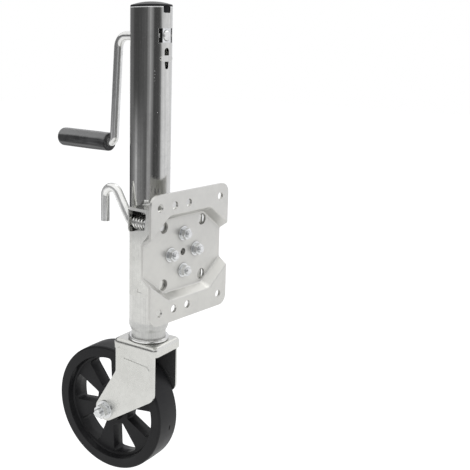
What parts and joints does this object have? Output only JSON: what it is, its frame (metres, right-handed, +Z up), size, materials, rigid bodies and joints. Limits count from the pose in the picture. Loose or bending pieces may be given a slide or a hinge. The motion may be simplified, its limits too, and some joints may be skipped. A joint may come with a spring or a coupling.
{
  "type": "swivel trailer jack",
  "caption": "Crank-operated trailer jack with a swing-up bolt-on mounting plate, a spring lock pin and a caster wheel on a telescoping tube.",
  "frame": {"origin": "centre of the swivel, on the mounting face of the plate", "axes": "+Z up along the tube, +X along the plate's width, +Y from the trailer frame out to the tube; -Y looks at the frame"},
  "size_m": [0.1596, 0.262, 0.692],
  "materials": {
    "zinc_sheet": "satin bright zinc plating",
    "zinc_tube": "glossy bright zinc plating",
    "zinc_fastener": "bluish zinc plating",
    "bright_rod": "bright plated rod",
    "spring_wire": "bright spring wire",
    "sintered_steel": "grey sintered",
    "plain_steel": "machined",
    "black_cap": "satin",
    "black_grip": "satin",
    "black_wheel": "satin moulded",
    "white_bushing": "plain"
  },
  "bodies": {
    "mount_bracket": {"mount_plate": "zinc_sheet", "pivot_disc": "zinc_sheet", "retainer_disc": "zinc_sheet", "swivel_bolts": "zinc_fastener", "swivel_washers": "zinc_fastener", "swivel_nuts": "zinc_fastener"},
    "jack": {"outer_tube": "zinc_tube", "swivel_bracket": "zinc_sheet", "pin_ear": "zinc_sheet", "top_cap": "black_cap", "front_shaft_block": "sintered_steel", "rear_shaft_bush": "sintered_steel", "thrust_plate": "plain_steel", "guide_rivet": "zinc_fastener", "pin_spring": "spring_wire"},
    "lock_pin": {"lock_pin": "bright_rod", "pin_collar": "zinc_fastener", "collar_pin": "zinc_fastener"},
    "crank": {"crank_handle": "bright_rod", "crank_ring": "spring_wire", "bevel_pinion": "plain_steel", "pinion_pin": "plain_steel"},
    "grip": {"crank_grip": "black_grip"},
    "screw": {"lead_screw": "plain_steel", "bevel_gear": "plain_steel", "gear_pin": "plain_steel", "thrust_washer": "plain_steel", "thrust_bearing": "plain_steel"},
    "ram": {"inner_tube": "zinc_tube", "lead_nut": "plain_steel", "king_pin": "plain_steel", "swivel_race": "zinc_sheet"},
    "fork": {"fork": "zinc_sheet", "swivel_bearing": "plain_steel", "king_washer": "zinc_fastener", "axle_bolt": "zinc_fastener", "axle_nut": "zinc_fastener", "axle_washers": "zinc_fastener", "axle_sleeve": "plain_steel"},
    "wheel": {"wheel": "black_wheel", "hub_bushings": "white_bushing"}
  },
  "joints": [
    {"name": "bracket_swing", "type": "hinge", "parent": "mount_bracket", "child": "jack", "pos_m": [0, 0, 0], "axis": [0, 1, 0], "range_deg": [-90, 90]},
    {"name": "lock_pin_pull", "type": "slide", "parent": "jack", "child": "lock_pin", "axis": [0, 1, 0], "range_m": [-0.0024, 0.004], "stiffness_N_per_m": 1500, "deforming": ["pin_spring"]},
    {"name": "crank_turn", "type": "hinge", "parent": "jack", "child": "crank", "pos_m": [0, 0.0767, 0.2895], "axis": [0, 1, 0], "range_deg": [0, 23760]},
    {"name": "grip_spin", "type": "hinge", "parent": "crank", "child": "grip", "pos_m": [0, 0.2, 0.1386], "axis": [0, 1, 0], "continuous": true},
    {"name": "screw_spin", "type": "hinge", "parent": "jack", "child": "screw", "pos_m": [0, 0.0767, 0], "axis": [0, 0, 1], "range_deg": [0, 17820]},
    {"name": "ram_slide", "type": "slide", "parent": "jack", "child": "ram", "axis": [0, 0, -1], "range_m": [0, 0.2475]},
    {"name": "caster_swivel", "type": "hinge", "parent": "ram", "child": "fork", "pos_m": [0, 0.0767, -0.14], "axis": [0, 0, 1], "continuous": true},
    {"name": "wheel_spin", "type": "hinge", "parent": "fork", "child": "wheel", "pos_m": [-0.00713, 0.13476, -0.2615], "axis": [0.9925, 0.1219, 0], "continuous": true}
  ],
  "couplings": [
    {"joint": "screw_spin", "follows": "crank_turn", "ratio": 0.75},
    {"joint": "ram_slide", "follows": "crank_turn", "m_per_rad": 0.00059683}
  ]
}
